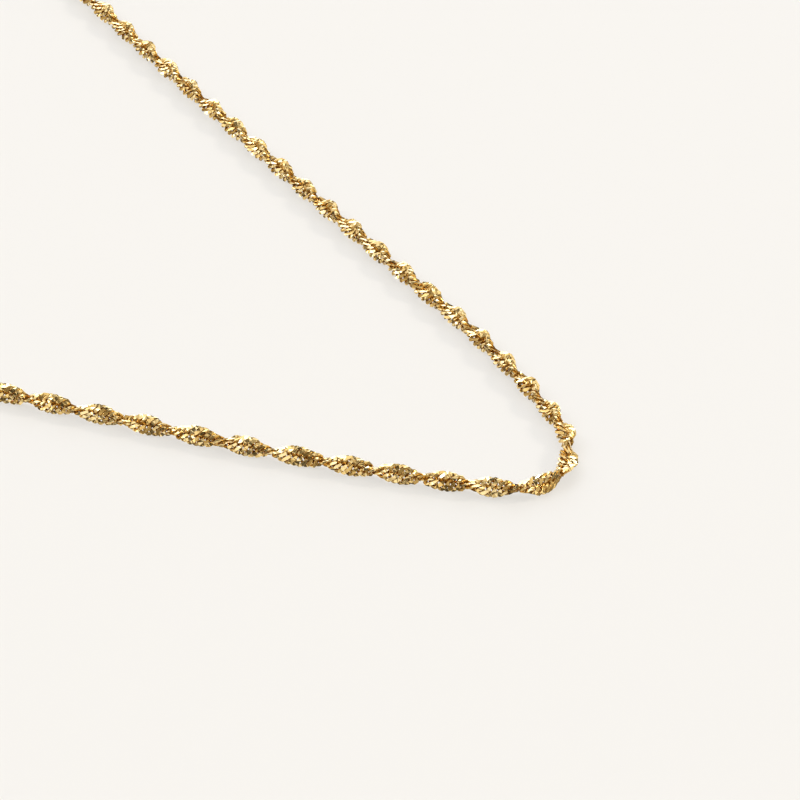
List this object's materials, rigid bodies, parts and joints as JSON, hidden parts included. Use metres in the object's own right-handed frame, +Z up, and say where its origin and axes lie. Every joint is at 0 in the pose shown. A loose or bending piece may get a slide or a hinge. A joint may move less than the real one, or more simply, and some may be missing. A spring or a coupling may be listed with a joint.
{
  "type": "twisted chain necklace",
  "caption": "Gold-coloured twisted curb chain necklace, lying flat in a tapered loop, closed at the back by a ring clasp on two jump rings.",
  "frame": {"origin": "middle of the loop's outline, on the surface that the necklace lies on", "axes": "+Z up from the surface, +Y from the pointed front of the loop towards the clasp, +X to the wearer's left limb as seen from above"},
  "size_m": [0.1018, 0.1887, 0.0029],
  "materials": {
    "gold_links": "diamond-cut and polished, gold plated",
    "gold_findings": "polished, gold plated"
  },
  "bodies": {
    "root": {"chain": "gold_links", "jump_ring_left": "gold_findings", "jump_ring_right": "gold_findings", "clasp": "gold_findings"}
  },
  "joints": []
}
